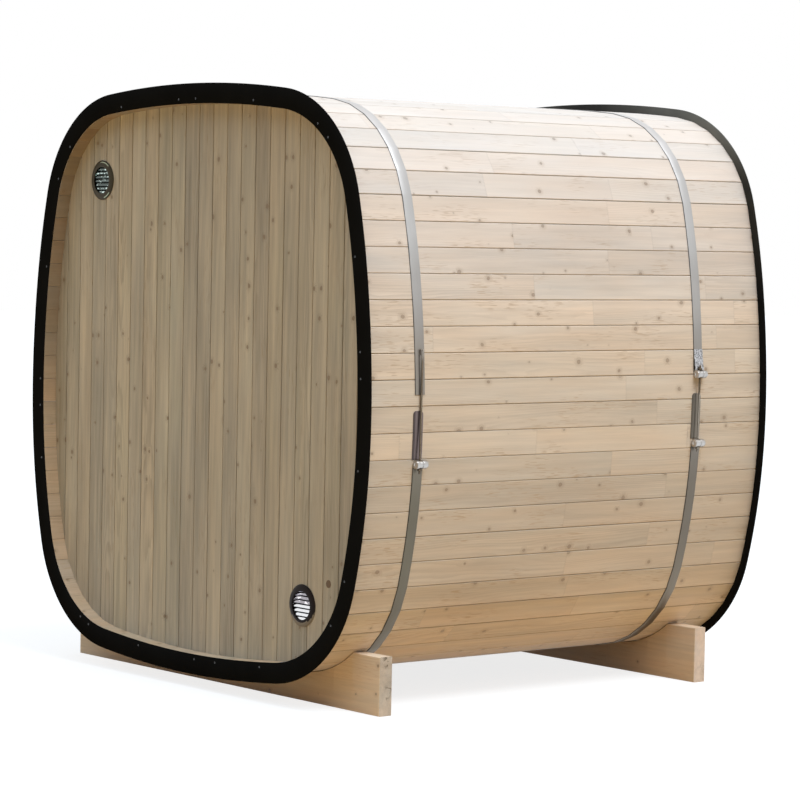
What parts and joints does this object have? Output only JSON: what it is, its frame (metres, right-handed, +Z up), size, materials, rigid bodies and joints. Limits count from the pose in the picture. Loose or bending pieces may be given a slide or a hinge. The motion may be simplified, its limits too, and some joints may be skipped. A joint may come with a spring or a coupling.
{
  "type": "cube barrel sauna",
  "caption": "Rounded-square barrel sauna of wooden staves held by steel bands on two cradles, with louvred vents.",
  "frame": {"origin": "on the ground, below the middle of the barrel", "axes": "+Z up; +Y along the barrel from the vented end wall to the far end wall; X across, the band tensioners are on the +X side"},
  "size_m": [2.0614, 1.858, 2.14],
  "materials": {
    "stave_wood": "planed raw spruce",
    "wall_wood": "planed raw spruce",
    "cradle_wood": "planed raw spruce",
    "black_steel": "satin black powder coat",
    "galvanised_steel": "galvanised",
    "bright_steel": "bright zinc",
    "rod_steel": "passivated zinc",
    "polished_steel": "polished stainless steel"
  },
  "bodies": {
    "root": {"roof_staves": "stave_wood", "floor_staves": "stave_wood", "left_staves": "stave_wood", "right_staves": "stave_wood", "upper_left_staves": "stave_wood", "upper_right_staves": "stave_wood", "lower_left_staves": "stave_wood", "lower_right_staves": "stave_wood", "front_wall": "wall_wood", "rear_wall": "wall_wood", "front_trim_ring": "black_steel", "rear_trim_ring": "black_steel", "front_cradle": "cradle_wood", "rear_cradle": "cradle_wood", "front_band": "galvanised_steel", "rear_band": "galvanised_steel", "front_barrel_nut": "bright_steel", "rear_upper_barrel_nut": "bright_steel", "rear_lower_barrel_nut": "bright_steel", "front_tension_rod": "rod_steel", "rear_tension_rod": "rod_steel", "front_guard_strip": "galvanised_steel", "rear_guard_strip": "galvanised_steel", "upper_vent_frame": "polished_steel", "upper_vent_louvres": "polished_steel", "lower_vent_frame": "polished_steel", "lower_vent_louvres": "polished_steel"}
  },
  "joints": []
}
